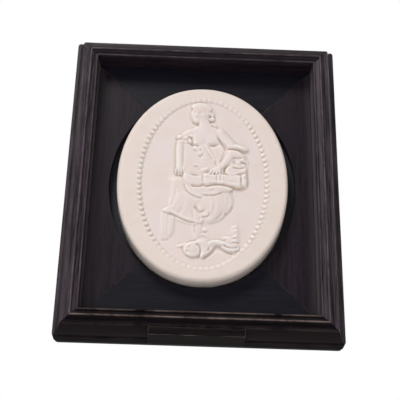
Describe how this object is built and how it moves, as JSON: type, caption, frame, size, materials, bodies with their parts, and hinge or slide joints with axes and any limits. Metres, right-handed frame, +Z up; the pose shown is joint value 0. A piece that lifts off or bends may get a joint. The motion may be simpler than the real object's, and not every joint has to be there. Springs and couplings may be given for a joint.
{
  "type": "framed porcelain relief plaque",
  "caption": "Oval unglazed porcelain relief plaque of a seated woman musician with a bead border, in a deep moulded black wooden frame made to hang on a wall.",
  "frame": {"origin": "the nail or hook that holds the frame, at the top of the slot of the keyhole hanger plate, in the plane of the back", "axes": "+Z up, -Y out of the wall towards the viewer, +Y into the wall, +X to the viewer's right"},
  "size_m": [0.25, 0.0332, 0.3],
  "materials": {
    "biscuit_porcelain": "matt unglazed white porcelain with a warm tone",
    "ebonised_wood": "black stained and polished, worn to brown along the edges, dusty in the corners",
    "panel_wood": "black stained veneer with a purple brown cast and fine straight grain",
    "tablet_wood": "dark brown grey, bare, with paler worn edges",
    "back_wood": "plain aged softwood, stained black where it shows round the oval",
    "brass": "dull aged brass",
    "screw_steel": "dull steel"
  },
  "bodies": {
    "root": {"relief_plaque": "biscuit_porcelain", "rail_top": "ebonised_wood", "rail_bottom": "ebonised_wood", "rail_left": "ebonised_wood", "rail_right": "ebonised_wood", "panel_top": "panel_wood", "panel_bottom": "panel_wood", "panel_left": "panel_wood", "panel_right": "panel_wood", "title_tablet": "tablet_wood", "backboard": "back_wood", "hanger_plate": "brass", "hanger_screw_left": "screw_steel", "hanger_screw_right": "screw_steel"}
  },
  "joints": []
}
